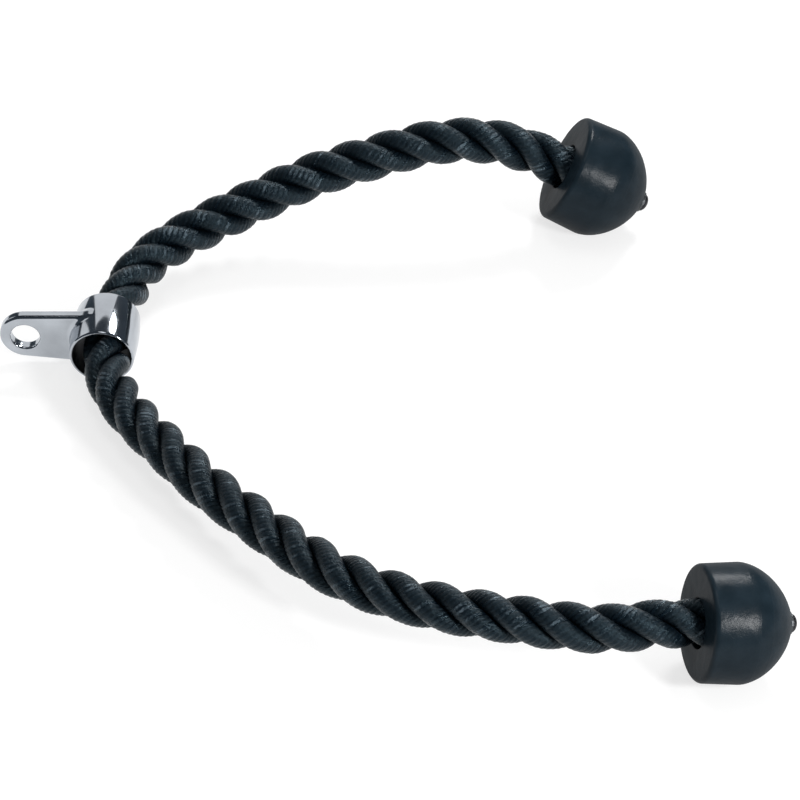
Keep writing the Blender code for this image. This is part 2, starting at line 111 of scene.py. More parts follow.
# How long one turn of the lay is along each leg: distance from the sleeve's middle, share of its length there
FRONT_LAY_SHARES = ((0, 1), (0.06, 1.07), (0.11, 1.24), (0.15, 1.29), (0.24, 1.26), (0.31, 1.22),
                    (0.36, 1.15), (0.40, 1.07), (0.52, 1.04))
REAR_LAY_SHARES = ((0, 1), (0.06, 0.96), (0.14, 0.955), (0.20, 1), (0.26, 1.045), (0.39, 1.06))

# Each leg's side along Y, its route, its cap's open face, the way that its cap points, and its lay
Leg = namedtuple("Leg", "side route cap_face heading dip lay_shares")
LEGS = {
    "front": Leg(-1, FRONT_ROUTE, FRONT_CAP_FACE, math.radians(15.5), math.radians(10.5), FRONT_LAY_SHARES),
    "rear": Leg(1, REAR_ROUTE, REAR_CAP_FACE, 0, math.radians(27.5), REAR_LAY_SHARES),
}

# How finely the rope's lines are drawn, and the length over which a leg bends outside the sleeve
SPAN_SAMPLES = 40
BOW_SAMPLES = 30
ROUTE_STEP = 0.0015
CORE_STEP = 0.0005

# How finely the strands are meshed, the gap between two of them, and the length at both ends of a leg over
# which the yarns' slant fades out
STRAND_COLUMNS = 28
ROWS_PER_YARN = 4
STRAND_GAP = 0.00015
SLANT_RUN = 0.0125
LAY_SEED = 3

# How much closer the columns lie at the rope's outside, how far round a strand its rows turn back, how high
# the lowest yarns stand, and the strands' slow swellings
CROWDING = 0.35
TURN_BACK = 2.0
LOWEST_YARN = 0.65
SWELLS_PER_METRE = 60.0
SWELL_DEPTH = 0.0005

# The rubber caps, as in the part's source, from each cap's open face
CAP_RADIUS = 0.0345
CAP_RIM_RADIUS = 0.0337
CAP_SIDE_LENGTH = 0.0237
CAP_DOME_LENGTH = 0.0312
CAP_DOME_POWER = 1.75
CAP_SEAT_RADIUS = 0.0072
CAP_TIP_WALL = 0.0123
SCREW_HOLE_RADIUS = 0.0033
SOCKET_RADIUS = 0.0143
SOCKET_DEPTH = 0.0120
SOCKET_EDGE_ROUND = 0.0008
CHAMBER_RADIUS = 0.0163

# The rings that the mould left on the dome: how far up its curve each lies, and how wide it is, in radians
MARK_ANGLES = (0.12, 0.40)
MARK_WIDTH = 0.012

# How many points draw the dome and the two rounded edges, and the angle from which an edge looks sharp
DOME_POINTS = 90
RIM_POINTS = 9
SOCKET_EDGE_POINTS = 5
SHARP_ANGLE = math.radians(38)

# The camera, at the photograph's viewing angle
CAMERA_PLACE = Vector((0.15993, -2.23308, 1.9646))
CAMERA_TARGET = Vector((0.0024, 0.0214, 0))
CAMERA_LENS = 225.0

# The lamps: direction from the object, distance, and width and height
LAMPS = {
    "back": ((0.27, 0.70, 0.70), 1.7, (0.42, 0.30)),
    "side": ((0.645, -0.57, 0.51), 1.7, (0.26, 0.26)),
    "top": ((-0.10, -0.05, 1.0), 1.9, (0.9, 0.5)),
}
LAMP_TARGET = Vector((0, 0, 0.02))

# The floor's disc, and the tent that the chrome reflects, which ends just short of its top
FLOOR_RADIUS = 9
FLOOR_SIDES = 96
TENT_RADIUS = 6.0
TENT_SIDES = 180
TENT_ROWS = 89
TENT_TOP_DEGREES = 89

# The tent's windows in degrees: first and last direction from +X, and bottom and top edge
WINDOWS = ((76, 120, 0, 44), (134, 156, 8, 34))


class RopeLook(PropertyGroup):
    """Sizes and colour of the laid rope."""

    radius: FloatProperty(
        name="Radius", description="Outer radius over the strands", default=0.0143, unit="LENGTH")
    strands: IntProperty(
        name="Strands", description="Strands laid round each other", default=3)
    strand_depth: FloatProperty(
        name="Strand Depth", description="Half a strand's size towards the rope's middle",
        default=0.0068, unit="LENGTH")
    strand_width: FloatProperty(
        name="Strand Width", description="Half a strand's size round the rope", default=0.0081, unit="LENGTH")
    pitch: FloatProperty(
        name="Lay Length", description="Rope length in which a strand goes round once, in the sleeve",
        default=0.068, unit="LENGTH")
    start_turn: FloatProperty(
        name="Lay Start", description="How far the strands are turned at the sleeve's middle",
        default=math.radians(72), subtype="ANGLE")
    yarn_length: FloatProperty(
        name="Yarn Spacing", description="Length of rope between one yarn and the next",
        default=0.00200, unit="LENGTH")
    yarn_depth: FloatProperty(
        name="Yarn Depth", description="Depth of the groove between two yarns",
        default=0.00042, unit="LENGTH")
    yarn_slant: FloatProperty(
        name="Yarn Slant", description="How far a yarn runs along the rope, per radian",
        default=0.00367, unit="LENGTH")
    # Painted shade: the dark colour fills the grooves between yarns and the gaps between strands
    dark: FloatVectorProperty(
        name="Dark Colour", description="Colour in the grooves", subtype="COLOR",
        default=(0.0008, 0.0024, 0.0044))
    light: FloatVectorProperty(
        name="Light Colour", description="Colour on the yarns", subtype="COLOR",
        default=(0.0042, 0.0090, 0.0142))
    # Painted glints: a light colour that the rope's finish mixes into single yarns near the strands' ridges
    painted_glint_colour: FloatVectorProperty(
        name="Painted Glint Colour", description="Painted glint colour on single yarns", subtype="COLOR",
        default=(0.080, 0.105, 0.125))


class BracketLook(PropertyGroup):
    """Sizes and colour of the chromed bracket."""

    fillet: FloatProperty(
        name="Weld Fillet", description="Radius where the plate runs into the sleeve",
        default=0.0026, unit="LENGTH")
    plate_edge: FloatProperty(
        name="Plate Edge", description="Rounding of the plate's edges", default=0.0020, unit="LENGTH")
    hole_edge: FloatProperty(
        name="Hole Edge", description="Rounding of the eye hole's edges", default=0.0012, unit="LENGTH")
    cell: FloatProperty(
        name="Mesh Size", description="Length of the mesh's edges", default=0.0006, unit="LENGTH")
    colour: FloatVectorProperty(
        name="Colour", description="Colour of the chrome plate", subtype="COLOR",
        default=(0.475, 0.505, 0.545))
    # The bore's dark colour is painted shade inside the sleeve; its rougher finish is real
    bore: FloatVectorProperty(
        name="Bore Colour", description="Painted shade colour of the dull bore", subtype="COLOR",
        default=(0.030, 0.034, 0.040))


class CapLook(PropertyGroup):
    """Sizes and colour of the rubber caps."""

    steps: IntProperty(
        name="Steps", description="Steps in a full turn", default=160)
    rim_round: FloatProperty(
        name="Rim Rounding", description="Rounding of the rim", default=0.0030, unit="LENGTH")
    mark_height: FloatProperty(
        name="Mould Mark", description="Height of the rings left by the mould",
        default=0.00005, unit="LENGTH")
    dark: FloatVectorProperty(
        name="Dark Colour", description="Darker colour of the rubber", subtype="COLOR",
        default=(0.0070, 0.0135, 0.0190))
    light: FloatVectorProperty(
        name="Light Colour", description="Lighter colour of the rubber", subtype="COLOR",
        default=(0.0120, 0.0205, 0.0280))


class StudioLook(PropertyGroup):
    """Lamps, world and floor."""

    ambient: FloatProperty(
        name="Ambient", description="Strength of the light from all round", default=0.45)
    back_power: FloatProperty(
        name="Back Lamp", description="Power of the lamp behind", default=16.0, unit="POWER")
    side_power: FloatProperty(
        name="Side Lamp", description="Power of the lamp at the front right", default=20.0, unit="POWER")
    top_power: FloatProperty(
        name="Top Lamp", description="Power of the lamp overhead", default=4.0, unit="POWER")
    floor: FloatVectorProperty(
        name="Floor", description="Colour of the floor", subtype="COLOR", default=(0.34, 0.34, 0.34))
    floor_glow: FloatProperty(
        name="Floor Glow", description="How much lighter the floor is seen", default=0.70)


# Node trees

def add_node(tree, kind, inputs=None, **settings):
    """A node with its settings and inputs; an input is another node's output or a plain value."""
    node = tree.nodes.new(kind)
    for key, value in settings.items():
        setattr(node, key, value)
    for key, value in (inputs or {}).items():
        if isinstance(value, bpy.types.NodeSocket):
            tree.links.new(value, node.inputs[key])
        else:
            node.inputs[key].default_value = value
    return node


class Sums:
    """Writes arithmetic as Math and Vector Math nodes in one tree."""

    def __init__(self, tree):
        self.tree = tree

    def do(self, operation, *values):
        """One Math node on up to three values."""
        return add_node(self.tree, "ShaderNodeMath", dict(enumerate(values)), operation=operation).outputs[0]

    def vector(self, operation, *values, scale=None):
        """One Vector Math node."""
        inputs = dict(enumerate(values))
        if scale is not None:
            inputs["Scale"] = scale
        return add_node(self.tree, "ShaderNodeVectorMath", inputs, operation=operation).outputs[0]

    def clamped(self, value, low, high):
        """A value kept between two others."""
        return self.do("MINIMUM", self.do("MAXIMUM", value, low), high)


def new_material(name):
    """A material and its main shader."""
    mat = bpy.data.materials.new(name)
    mat.use_nodes = True
    return mat, mat.node_tree, mat.node_tree.nodes["Principled BSDF"]


def colour_ramp(tree, factor, dark, light, low=0.3, high=0.7):
    """A mix of two colours between two levels of a factor."""
    ramp = add_node(tree, "ShaderNodeValToRGB", {"Fac": factor})
    ramp.color_ramp.elements[0].position = low
    ramp.color_ramp.elements[0].color = (*dark, 1)
    ramp.color_ramp.elements[1].position = high
    ramp.color_ramp.elements[1].color = (*light, 1)
    return ramp.outputs["Color"]


def colour_mix(tree, factor, first, second):
    """A mix of two colours by a factor from 0 to 1; the node's third output is the one for colours."""
    inputs = {"Factor": factor, "A": first, "B": second}
    return add_node(tree, "ShaderNodeMix", inputs, data_type="RGBA").outputs[2]


def body_noise(tree, place, scale, detail):
    """Noise through the whole body, at a scale per metre."""
    inputs = {"Vector": place, "Scale": scale, "Detail": detail}
    return add_node(tree, "ShaderNodeTexNoise", inputs).outputs["Fac"]


def pair(tree, first, second):
    """Two values as one vector."""
    return add_node(tree, "ShaderNodeCombineXYZ", {"X": first, "Y": second}).outputs["Vector"]


def pair_noise(tree, first, second, detail=2.0):
    """Smooth noise over two values."""
    inputs = {"Vector": pair(tree, first, second), "Scale": 1.0, "Detail": detail}
    return add_node(tree, "ShaderNodeTexNoise", inputs, noise_dimensions="2D").outputs["Fac"]


def pair_chance(tree, first, second):
    """A random number from 0 to 1, the same for the same two values."""
    inputs = {"Vector": pair(tree, first, second)}
    return add_node(tree, "ShaderNodeTexWhiteNoise", inputs, noise_dimensions="2D").outputs["Value"]


def add_bump(tree, shader, height, strength, depth, sockets=("Normal",)):
    """Fine relief on a finish."""
    bump = add_node(tree, "ShaderNodeBump", {"Height": height, "Strength": strength, "Distance": depth})
    for socket in sockets:
        tree.links.new(bump.outputs["Normal"], shader.inputs[socket])


def rope_material(look):
    """Dull black yarn: painted shade in the grooves between yarns and strands, painted glints on single
    yarns, a slightly different tone on each yarn, and fine filaments.
    """
    mat, tree, shader = new_material("rope_yarn")
    sums = Sums(tree)
    uv = add_node(tree, "ShaderNodeUVMap", uv_map="UVMap").outputs["UV"]
    split = add_node(tree, "ShaderNodeSeparateXYZ", {"Vector": uv})
    across, along = split.outputs["X"], split.outputs["Y"]

    # The yarn's round top, whose grooves take painted shade, its own tone, its fibres, and broad stretches of
    # noise that raise the tone and the painted glints
    crest = sums.do("ABSOLUTE", sums.do("SINE", sums.do("MULTIPLY", along, math.pi)))
    shade = pair_chance(tree, sums.do("FLOOR", across), sums.do("FLOOR", along))
    fibre = pair_noise(tree, sums.do("MULTIPLY", across, 22.0), sums.do("MULTIPLY", along, 3.0), 4.0)
    patch = pair_noise(tree, sums.do("MULTIPLY", across, 3.0), sums.do("MULTIPLY", along, 0.22))
    # 1 on the strand's ridge and 0 where it meets the next strand; towards 0 the colour takes painted shade
    ridge = sums.clamped(sums.do("MULTIPLY_ADD", sums.do("PINGPONG", across, 0.5), 4.0, -1.0), 0.0, 1.0)

    # The colour is a weighted sum of them all, darker in the grooves and gaps as painted shade, with light
    # dashes of painted glint where they are all high
    tone = -0.20
    for part, share in ((ridge, 0.26), (crest, 0.36), (shade, 0.16), (fibre, 0.36), (patch, 0.30)):
        tone = sums.do("MULTIPLY_ADD", part, share, tone)
    colour = colour_ramp(tree, tone, look.dark, look.light, 0.32, 0.78)
    # Painted glints: light dashes on single yarns near the strands' ridges, where all the parts are high
    painted_glint = sums.do("MULTIPLY", sums.do("MULTIPLY", crest, shade), sums.do("MULTIPLY", patch, fibre))
    painted_glint = add_node(tree, "ShaderNodeMapRange", {
        "Value": sums.do("MULTIPLY", painted_glint, ridge), "From Min": 0.11, "From Max": 0.26}).outputs["Result"]
    tree.links.new(colour_mix(tree, painted_glint, colour, (*look.painted_glint_colour, 1)), shader.inputs["Base Color"])

    # Single yarns are glossier in the same broad stretches
    glint = sums.do("MULTIPLY", sums.do("SUBTRACT", shade, 0.5), sums.do("SUBTRACT", patch, 0.15))
    gloss = sums.do("MULTIPLY_ADD", glint, -0.90, sums.do("MULTIPLY_ADD", fibre, -0.40, 0.57))
    tree.links.new(sums.clamped(gloss, 0.20, 0.75), shader.inputs["Roughness"])
    shader.inputs["Specular IOR Level"].default_value = 0.33
    shader.inputs["Specular Tint"].default_value = (0.60, 0.86, 1.0, 1.0)
    add_bump(tree, shader, fibre, 0.80, 0.0007)
    return mat


def chrome_material(look):
    """Bright chrome with a faintly uneven polish and a few dull smears; the bore is dull, and its dark colour
    is painted shade.
    """
    mat, tree, shader = new_material("chrome_plate")
    shader.inputs["Metallic"].default_value = 1.0
    sums = Sums(tree)
    place = add_node(tree, "ShaderNodeTexCoord").outputs["Object"]
    smear = body_noise(tree, place, 55.0, 5.0)
    wave = body_noise(tree, place, 140.0, 1.0)
    smeared = [0.86 * part for part in look.colour]
    bright = colour_ramp(tree, smear, smeared, look.colour, 0.35, 0.65)

    # 0 on the bore's wall and 1 outside, from the distance to the sleeve's axis
    off_axis = sums.vector("MULTIPLY", sums.vector("SUBTRACT", place, tuple(SLEEVE_CENTRE)), (1.0, 0.0, 1.0))
    radius = add_node(tree, "ShaderNodeVectorMath", {0: off_axis}, operation="LENGTH").outputs["Value"]
    outside = add_node(tree, "ShaderNodeMapRange", {
        "Value": radius, "From Min": SLEEVE_BORE_RADIUS + 0.0002, "From Max": SLEEVE_BORE_RADIUS + 0.0010,
    }, interpolation_type="SMOOTHSTEP").outputs["Result"]
    # The bore's wall takes the bore colour, which is painted shade inside the sleeve
    tree.links.new(colour_mix(tree, outside, (*look.bore, 1), bright), shader.inputs["Base Color"])
    dull = sums.do("MULTIPLY_ADD", outside, -0.37, 0.42)
    tree.links.new(sums.do("MULTIPLY_ADD", smear, 0.10, dull), shader.inputs["Roughness"])
    add_bump(tree, shader, wave, 0.06, 0.0004)
    return mat


def rubber_material(look):
    """Moulded black rubber with a soft sheen, fine grain and a slightly uneven gloss."""
    mat, tree, shader = new_material("cap_rubber")
    sums = Sums(tree)
    place = add_node(tree, "ShaderNodeTexCoord").outputs["Object"]
    cloud = body_noise(tree, place, 90.0, 3.0)
    grain = body_noise(tree, place, 1500.0, 2.0)
    tree.links.new(colour_ramp(tree, cloud, look.dark, look.light), shader.inputs["Base Color"])
    tree.links.new(sums.do("MULTIPLY_ADD", cloud, 0.16, 0.50), shader.inputs["Roughness"])
    shader.inputs["Specular IOR Level"].default_value = 0.0
    shader.inputs["Coat Weight"].default_value = 0.24
    shader.inputs["Coat Roughness"].default_value = 0.30
    shader.inputs["Coat Tint"].default_value = (0.90, 0.97, 1.0, 1.0)
    height = sums.do("MULTIPLY_ADD", grain, 0.15, cloud)
    add_bump(tree, shader, height, 0.5, 0.0009, ("Normal", "Coat Normal"))
    return mat


def metal_material(name, dark, light, roughness):
    """A small metal part: two close shades, fine marks and an uneven gloss."""
    mat, tree, shader = new_material(name)
    shader.inputs["Metallic"].default_value = 1.0
    sums = Sums(tree)
    place = add_node(tree, "ShaderNodeTexCoord").outputs["Object"]
    marks = body_noise(tree, place, 900.0, 5.0)
    tree.links.new(colour_ramp(tree, marks, dark, light), shader.inputs["Base Color"])
    tree.links.new(sums.do("MULTIPLY_ADD", marks, 0.2, roughness - 0.1), shader.inputs["Roughness"])
    add_bump(tree, shader, marks, 0.1, 0.0002)
    return mat


# Objects

def link(name, data):
    """A new object in the scene."""
    obj = bpy.data.objects.new(name, data)
    bpy.context.scene.collection.objects.link(obj)
    return obj


def show(name, mesh, mat):
    """A finished piece in the scene, with its finish."""
    obj = link(name, mesh)
    mesh.materials.clear()
    mesh.materials.append(mat)
    return obj


# The rope

def smooth_route(points, start_way, end_way, step):
    """Points at even steps along a cubic curve through the route's points, with both end directions given."""
    knots = np.array(points, float)
    spans = np.linalg.norm(np.diff(knots, axis=0), axis=1)
    last = len(knots) - 1
    system = np.eye(len(knots))
    wanted = np.zeros_like(knots)
    wanted[0] = start_way
    wanted[last] = end_way
    for i in range(1, last):
        before, after = spans[i - 1], spans[i]
        system[i, i - 1:i + 2] = (after, 2 * (before + after), before)
        rise = after / before * (knots[i] - knots[i - 1])
        fall = before / after * (knots[i + 1] - knots[i])
        wanted[i] = 3 * (rise + fall)
    ways = np.linalg.solve(system, wanted)
    fine = []
    for i, span in enumerate(spans):
        share = np.linspace(0, 1, SPAN_SAMPLES, endpoint=i == last - 1)[:, None]
        square, cube = share ** 2, share ** 3
        fine.append(
            (2 * cube - 3 * square + 1) * knots[i] + (cube - 2 * square + share) * span * ways[i]
            + (3 * square - 2 * cube) * knots[i + 1] + (cube - square) * span * ways[i + 1]
        )
    return even_steps(np.vstack(fine), step)


def even_steps(line, step):
    """The same line with its points at even steps."""
    run = distances(line)
    even = np.linspace(0, run[-1], round(run[-1] / step) + 1)
    return np.column_stack([np.interp(even, run, line[:, k]) for k in range(3)])


def distances(line):
    """How far along a line each of its points lies."""
    return np.concatenate(([0.0], np.cumsum(np.linalg.norm(np.diff(line, axis=0), axis=1))))


def bow_place(along):
    """The rope's centre in the sleeve, at a distance along the sleeve from its middle."""
    return SLEEVE_CENTRE + Vector((BOW_SHIFT + along ** 2 / (2 * BOW_RADIUS), along, 0))


def bow_line(start, end):
    """The rope's centre line in the sleeve between two distances from its middle."""
    return np.array([bow_place(along) for along in np.linspace(start, end, BOW_SAMPLES)])


def cap_way(leg):
    """The direction from a cap's open face to its tip."""
    level = math.cos(leg.dip)
    return Vector((level * math.cos(leg.heading), level * math.sin(leg.heading), -math.sin(leg.dip)))


def leg_line(leg):
    """A leg's whole centre line: from inside the sleeve, along its route, into its cap."""
    start = bow_place(leg.side * SWING_ALONG)
    out = Vector((SWING_ALONG / BOW_RADIUS, leg.side, 0)).normalized()
    way = cap_way(leg)
    face = SLEEVE_FOOT + Vector(leg.cap_face)
    straight = face - way * STRAIGHT_LENGTH
    middle = [SLEEVE_FOOT + Vector(point) for point in leg.route]
    route = smooth_route([start, *middle, straight], out, way, ROUTE_STEP)
    bow = bow_line(leg.side * SEAM_ALONG, leg.side * SWING_ALONG)[:-1]
    tail = face + way * TAIL_LENGTH
    return even_steps(np.vstack((bow, route, [tail])), ROUTE_STEP)


def capture(tree, geometry, value):
    """Keep a value on a geometry's points; gives the geometry and the kept value."""
    node = add_node(tree, "GeometryNodeCaptureAttribute", {"Geometry": geometry})
    node.capture_items.new("INT", "Kept")
    tree.links.new(value, node.inputs["Kept"])
    return node.outputs["Geometry"], node.outputs["Kept"]


def rope_tree():
    """The node tree that lays strands along a route, with the yarns' relief on each strand."""
    tree = bpy.data.node_groups.new("laid_rope", "GeometryNodeTree")
    face = tree.interface
    face.new_socket("Geometry", in_out="OUTPUT", socket_type="NodeSocketGeometry")
    face.new_socket("Route", in_out="INPUT", socket_type="NodeSocketGeometry")
    for name in ("Strands", "Rows", "Columns", "Rows per Yarn", "Seed"):
        face.new_socket(name, in_out="INPUT", socket_type="NodeSocketInt")
    for name in ("Radius", "Strand Depth", "Strand Width", "Strand Gap", "Yarn Slant", "Yarn Depth",
                 "Slant Run"):
        face.new_socket(name, in_out="INPUT", socket_type="NodeSocketFloat")
    face.new_socket("Material", in_out="INPUT", socket_type="NodeSocketMaterial")
    given = tree.nodes.new("NodeGroupInput").outputs
    sums = Sums(tree)

    # A straight bundle of closed tubes; each of its points knows its row, its column and its strand
    rail = add_node(tree, "GeometryNodeCurvePrimitiveLine").outputs["Curve"]
    rail = add_node(tree, "GeometryNodeResampleCurve", {"Curve": rail, "Count": given["Rows"]},
                    mode="COUNT").outputs["Curve"]
    index = add_node(tree, "GeometryNodeInputIndex").outputs["Index"]
    rail, row = capture(tree, rail, index)
    copies = add_node(tree, "GeometryNodeDuplicateElements", {
        "Geometry": rail, "Amount": given["Strands"]}, domain="SPLINE").outputs
    bundle, strand = capture(tree, copies["Geometry"], copies["Duplicate Index"])
    ring = add_node(tree, "GeometryNodeCurvePrimitiveCircle", {"Resolution": given["Columns"]})
    ring, column = capture(tree, ring.outputs["Curve"], index)
    tubes = add_node(tree, "GeometryNodeCurveToMesh", {
        "Curve": bundle, "Profile Curve": ring, "Fill Caps": True}).outputs["Mesh"]

    # Round the strand: the angle is 0 at the rope's outside, where the columns lie closer together
    turn = sums.do("DIVIDE", sums.do("MULTIPLY", column, math.tau), given["Columns"])
    even = sums.do("SUBTRACT", turn, math.pi)
    angle = sums.do("SUBTRACT", even, sums.do("MULTIPLY", sums.do("SINE", even), CROWDING))

    # Along the rope: a row follows one yarn across the strand's outside and returns on its hidden inside
    length = add_node(tree, "GeometryNodeCurveLength", {"Curve": given["Route"]}).outputs["Length"]
    last = sums.do("SUBTRACT", given["Rows"], 1)
    run = sums.do("MULTIPLY", sums.do("DIVIDE", row, last), length)
    away = sums.do("ABSOLUTE", angle)
    back = sums.do("MULTIPLY", sums.do("SUBTRACT", math.pi, away), TURN_BACK / (math.pi - TURN_BACK))
    lean = sums.do("MULTIPLY", sums.do("MINIMUM", away, back), sums.do("SIGN", angle))
    near_end = sums.do("MINIMUM", run, sums.do("SUBTRACT", length, run))
    slant = sums.do("MULTIPLY", given["Yarn Slant"],
                    sums.clamped(sums.do("DIVIDE", near_end, given["Slant Run"]), 0.0, 1.0))
    along = sums.clamped(sums.do("SUBTRACT", run, sums.do("MULTIPLY", slant, lean)), 0.0, length)

    # The yarn's own roundness, with some yarns standing a little lower
    yarn = sums.do("DIVIDE", row, given["Rows per Yarn"])
    crest = sums.do("ABSOLUTE", sums.do("SINE", sums.do("MULTIPLY", yarn, math.pi)))
    chance = pair_chance(tree, sums.do("FLOOR", yarn), sums.do("ADD", strand, given["Seed"]))
    height = sums.do("MULTIPLY", crest, sums.do("MULTIPLY_ADD", chance, LOWEST_YARN - 1, 1.0))
    relief = sums.do("MULTIPLY", sums.do("SUBTRACT", height, 1.0), given["Yarn Depth"])

    # Slow swellings, each strand's from its own place in the noise, which seldom passes 0.75
    swell = pair_noise(tree, sums.do("MULTIPLY", along, SWELLS_PER_METRE),
                       sums.do("MULTIPLY_ADD", strand, 7.0, given["Seed"]))
    relief = sums.do("MULTIPLY_ADD", sums.do("SUBTRACT", swell, 0.75), SWELL_DEPTH, relief)

    # The strand's section, cut off where the next strand begins, then turned with the lay
    offset = sums.do("SUBTRACT", given["Radius"], given["Strand Depth"])
    depth = sums.do("ADD", given["Strand Depth"], relief)
    out = sums.do("MULTIPLY_ADD", sums.do("COSINE", angle), depth, offset)
    wide = sums.do("MULTIPLY", sums.do("SINE", angle), sums.do("ADD", given["Strand Width"], relief))
    half_share = sums.do("DIVIDE", math.pi, given["Strands"])
    edge = sums.do("MULTIPLY", out, sums.do("TANGENT", half_share))
    limit = sums.do("SUBTRACT", edge, given["Strand Gap"])
    wide = sums.clamped(wide, sums.do("MULTIPLY", limit, -1.0), limit)
    centre = add_node(tree, "GeometryNodeSampleCurve", {
        "Curves": given["Route"], "Length": along,
        "Value": add_node(tree, "GeometryNodeInputCurveTilt").outputs["Tilt"]}, mode="LENGTH").outputs
    lay = sums.do("ADD", centre["Value"], sums.do("MULTIPLY", sums.do("MULTIPLY", strand, 2.0), half_share))
    cos, sin = sums.do("COSINE", lay), sums.do("SINE", lay)
    sideways = sums.do("SUBTRACT", sums.do("MULTIPLY", out, cos), sums.do("MULTIPLY", wide, sin))
    upwards = sums.do("ADD", sums.do("MULTIPLY", out, sin), sums.do("MULTIPLY", wide, cos))

    # Onto the route
    way = centre["Tangent"]
    side = sums.vector("NORMALIZE", sums.vector("CROSS_PRODUCT", (0, 0, 1), way))
    up = sums.vector("CROSS_PRODUCT", way, side)
    shift = sums.vector(
        "ADD", sums.vector("SCALE", side, scale=sideways), sums.vector("SCALE", up, scale=upwards))
    place = sums.vector("ADD", centre["Position"], shift)
    laid = add_node(tree, "GeometryNodeSetPosition", {"Geometry": tubes, "Position": place})

    # The finish's own coordinates: the strand's number and the place round it, which stays a little short of
    # the next number, and the number of yarns passed
    round_strand = sums.do("MULTIPLY_ADD", angle, 0.98 / math.tau, 0.5)
    mapped = add_node(tree, "GeometryNodeStoreNamedAttribute", {
        "Geometry": laid.outputs["Geometry"], "Name": "UVMap",
        "Value": pair(tree, sums.do("ADD", strand, round_strand), yarn),
    }, data_type="FLOAT2", domain="CORNER")
    smooth = add_node(tree, "GeometryNodeSetShadeSmooth", {"Geometry": mapped.outputs["Geometry"]})
    whole = add_node(tree, "GeometryNodeRealizeInstances", {"Geometry": smooth.outputs["Geometry"]})
    finish = add_node(tree, "GeometryNodeSetMaterial", {
        "Geometry": whole.outputs["Geometry"], "Material": given["Material"]})
    add_node(tree, "NodeGroupOutput", {"Geometry": finish.outputs["Geometry"]})
    return tree


def lay_turns(line, begin, shares, start_turn, pitch):
    """How far the strands have turned along a line that begins at a distance from the sleeve's middle."""
    run = np.concatenate(([0], begin + distances(line)))
    share = np.interp(run, *np.array(shares).T)
    return start_turn + np.cumsum(np.diff(run) * math.tau / (pitch * share[1:]))


def lay_rope(name, line, turns, slanted, mat):
    """Strands along a line, turned as given at each of its points, as a plain mesh."""
    look = bpy.context.scene.rope_look
    yarns = round(distances(line)[-1] / look.yarn_length)
    curve = bpy.data.curves.new(name, "CURVE")
    curve.dimensions = "3D"
    spline = curve.splines.new("POLY")
    spline.points.add(len(line) - 1)
    for knot, place, turn in zip(spline.points, line, turns):
        knot.co = (*place, 1)
        knot.tilt = turn
    route = link(name + "_route", curve)
    tree = bpy.data.node_groups.get("laid_rope") or rope_tree()
    step = route.modifiers.new("Laid rope", "NODES")
    step.node_group = tree
    values = {
        "Strands": look.strands, "Rows": ROWS_PER_YARN * yarns + 1, "Columns": STRAND_COLUMNS,
        "Rows per Yarn": ROWS_PER_YARN, "Seed": LAY_SEED, "Radius": look.radius,
        "Strand Depth": look.strand_depth, "Strand Width": look.strand_width, "Strand Gap": STRAND_GAP,
        "Yarn Slant": look.yarn_slant if slanted else 0.0, "Yarn Depth": look.yarn_depth,
        "Slant Run": SLANT_RUN, "Material": mat,
    }
    for item in tree.interface.items_tree:
        if item.in_out == "INPUT" and item.name in values:
            step[item.identifier] = values[item.name]
    depsgraph = bpy.context.evaluated_depsgraph_get()
    mesh = bpy.data.meshes.new_from_object(route.evaluated_get(depsgraph))
    mesh.name = name
    bpy.data.objects.remove(route, do_unlink=True)
    if not mesh.polygons:
        raise RuntimeError("the rope's node tree made no strands")
    return show(name, mesh, mat)


class OBJECT_OT_rope_attachment_rope(Operator):
    """Lay the three strands through the sleeve and along both legs"""

    bl_idname = "object.rope_attachment_rope"
    bl_label = "Rope"

    def execute(self, context):
        look = context.scene.rope_look
        mat = rope_material(look)
        core_line = even_steps(bow_line(-SEAM_ALONG, SEAM_ALONG), CORE_STEP)
        run = distances(core_line)
        half = run[-1] / 2
        turns = look.start_turn + (run - half) * math.tau / look.pitch
        core = lay_rope("rope_strands_in_sleeve", core_line, turns, False, mat)
        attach(core, "rope_middle")
        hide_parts("rope_in_sleeve")
        # The front leg runs the other way, so there the same turn is measured from the other side
        first_turns = {"front": math.pi - look.start_turn, "rear": look.start_turn}
        for label, leg in LEGS.items():
            line = leg_line(leg)
            turns = lay_turns(line, half, leg.lay_shares, first_turns[label], look.pitch)
            strands = lay_rope("rope_strands_" + label, line, turns, True, mat)
            run = distances(line)
            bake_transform(strands)
            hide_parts("rope_leg_" + label, "rope_tail_" + label)
        return {"FINISHED"}


# The bracket

def rounded_join(first, second, radius):
    """The distance to two shapes joined with a round fillet."""
    near = np.hypot(np.maximum(radius - first, 0), np.maximum(radius - second, 0))
    return np.maximum(radius, np.minimum(first, second)) - near


def rounded_cut(shape, tool, radius):
    """The distance to a shape with a tool cut out of it, the new edges rounded."""
    near = np.hypot(np.maximum(radius + shape, 0), np.maximum(radius - tool, 0))
    return np.minimum(-radius, np.maximum(shape, -tool)) + near


def rounded_block(first, second, radius):
    """The distance to where two limits both hold, the edge between them rounded."""
    first, second = first + radius, second + radius
    near = np.hypot(np.maximum(first, 0), np.maximum(second, 0))
    return np.minimum(np.maximum(first, second), 0) + near - radius


